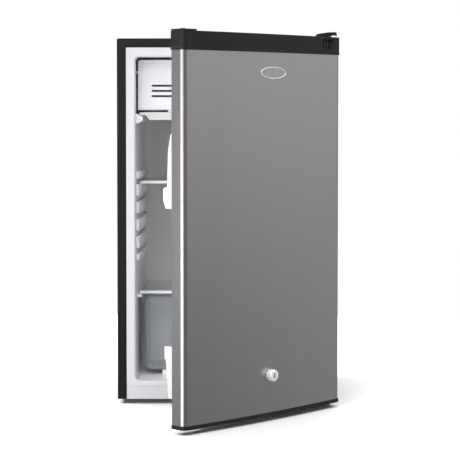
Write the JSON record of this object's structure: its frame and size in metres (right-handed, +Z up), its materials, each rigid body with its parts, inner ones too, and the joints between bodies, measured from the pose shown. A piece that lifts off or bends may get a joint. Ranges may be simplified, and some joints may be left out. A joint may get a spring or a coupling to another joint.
{
  "type": "compact refrigerator",
  "caption": "Compact refrigerator with a bowed brushed steel door standing ajar, an ice box, glass shelves, a crisper and door racks.",
  "frame": {"origin": "middle of the bounding box at floor level, with the door open as stored", "axes": "+X to the right seen from the front, +Y to the back, +Z up"},
  "size_m": [0.502, 0.7912, 0.843],
  "materials": {
    "stainless_steel": "satin",
    "badge_metal": "satin",
    "polished_metal": "polished",
    "zinc_steel": "satin",
    "galvanised_steel": "satin",
    "black_steel": "satin",
    "compressor_black": "satin",
    "black_plastic": "satin",
    "grey_plastic": "satin",
    "white_liner": "satin",
    "white_trim": "satin",
    "clear_plastic": "gloss",
    "milky_plastic": "satin",
    "shelf_glass": "gloss",
    "gasket_rubber": "matte",
    "nylon": "satin",
    "aluminium": "satin",
    "copper": "satin",
    "foam": "matte"
  },
  "bodies": {
    "cabinet": {"outer_shell": "black_steel", "back_panel": "galvanised_steel", "machine_bay_panel": "galvanised_steel", "base_plate": "galvanised_steel", "front_sill": "grey_plastic", "inner_liner": "white_liner", "cabinet_foam": "foam", "rear_foot_left": "black_plastic", "rear_foot_right": "black_plastic", "compressor_mount": "galvanised_steel", "compressor": "compressor_black", "start_relay_box": "black_plastic", "evaporation_tray": "grey_plastic", "condenser_coil": "black_steel", "condenser_bracket_left": "black_steel", "condenser_bracket_right": "black_steel", "filter_drier": "copper", "discharge_pipe": "copper", "suction_pipe": "copper", "terminal_plate": "galvanised_steel", "mains_cable_gland": "black_plastic", "freezer_box": "aluminium", "thermostat_housing": "white_liner", "thermostat_body": "galvanised_steel", "top_hinge_plate": "black_steel", "top_hinge_pin": "zinc_steel", "top_hinge_screw_1": "zinc_steel", "top_hinge_screw_2": "zinc_steel", "top_hinge_cover": "black_plastic", "lower_hinge_bracket": "black_steel", "lower_hinge_pin": "zinc_steel", "lock_keeper": "galvanised_steel"},
    "door": {"door_steel_panel": "stainless_steel", "door_top_cap": "black_plastic", "cap_blank_plug": "black_plastic", "door_bottom_cap": "black_plastic", "door_foam": "foam", "door_liner": "white_liner", "door_gasket": "gasket_rubber", "upper_door_rack": "milky_plastic", "lower_door_rack": "milky_plastic", "lock_barrel": "polished_metal", "badge_plate": "badge_metal", "top_pin_bush": "nylon", "lower_pin_bush": "nylon"},
    "lock_key_plug": {"lock_plug": "polished_metal", "lock_cam": "zinc_steel"},
    "lock_bolt": {"lock_bolt": "zinc_steel"},
    "freezer_flap": {"freezer_flap": "white_trim"},
    "drip_tray": {"drip_tray": "white_trim"},
    "upper_shelf": {"upper_shelf_glass": "shelf_glass", "upper_shelf_trim": "white_trim"},
    "lower_shelf": {"lower_shelf_glass": "shelf_glass", "lower_shelf_trim": "white_trim"},
    "crisper_drawer": {"crisper_drawer": "clear_plastic"},
    "thermostat_knob": {"thermostat_knob": "white_liner"},
    "front_foot_left": {"front_foot_left": "black_plastic"},
    "front_foot_right": {"front_foot_right": "black_plastic"}
  },
  "joints": [
    {"name": "door_hinge", "type": "hinge", "parent": "cabinet", "child": "door", "pos_m": [0.22496, -0.03605, 0.4], "axis": [0, 0, 1], "range_deg": [-46, 62]},
    {"name": "lock_turn", "type": "hinge", "parent": "door", "child": "lock_key_plug", "pos_m": [0.0925, -0.22648, 0.1], "axis": [-0.7193, 0.6947, 0], "range_deg": [0, 90]},
    {"name": "lock_bolt_slide", "type": "slide", "parent": "door", "child": "lock_bolt", "axis": [0, 0, -1], "range_m": [0, 0.0081]},
    {"name": "freezer_flap_hinge", "type": "hinge", "parent": "cabinet", "child": "freezer_flap", "pos_m": [-0.03704, 0.02995, 0.755], "axis": [-1, 0, 0], "range_deg": [0, 85]},
    {"name": "drip_tray_slide", "type": "slide", "parent": "cabinet", "child": "drip_tray", "axis": [0, -1, 0], "range_m": [0, 0.05]},
    {"name": "upper_shelf_slide", "type": "slide", "parent": "cabinet", "child": "upper_shelf", "axis": [0, -1, 0], "range_m": [0, 0.055]},
    {"name": "lower_shelf_slide", "type": "slide", "parent": "cabinet", "child": "lower_shelf", "axis": [0, -1, 0], "range_m": [0, 0.055]},
    {"name": "crisper_slide", "type": "slide", "parent": "cabinet", "child": "crisper_drawer", "axis": [0, -1, 0], "range_m": [0, 0.05]},
    {"name": "thermostat_turn", "type": "hinge", "parent": "cabinet", "child": "thermostat_knob", "pos_m": [0.16196, 0.01395, 0.738], "axis": [0, -1, 0], "range_deg": [-270, 0]},
    {"name": "left_foot_turn", "type": "hinge", "parent": "cabinet", "child": "front_foot_left", "pos_m": [-0.21204, 0.06795, 0.005], "axis": [0, 0, 1], "continuous": true},
    {"name": "right_foot_turn", "type": "hinge", "parent": "cabinet", "child": "front_foot_right", "pos_m": [0.19796, 0.06795, 0.005], "axis": [0, 0, 1], "continuous": true}
  ],
  "couplings": [
    {"joint": "lock_bolt_slide", "follows": "lock_turn", "m_per_rad": 0.005093}
  ]
}
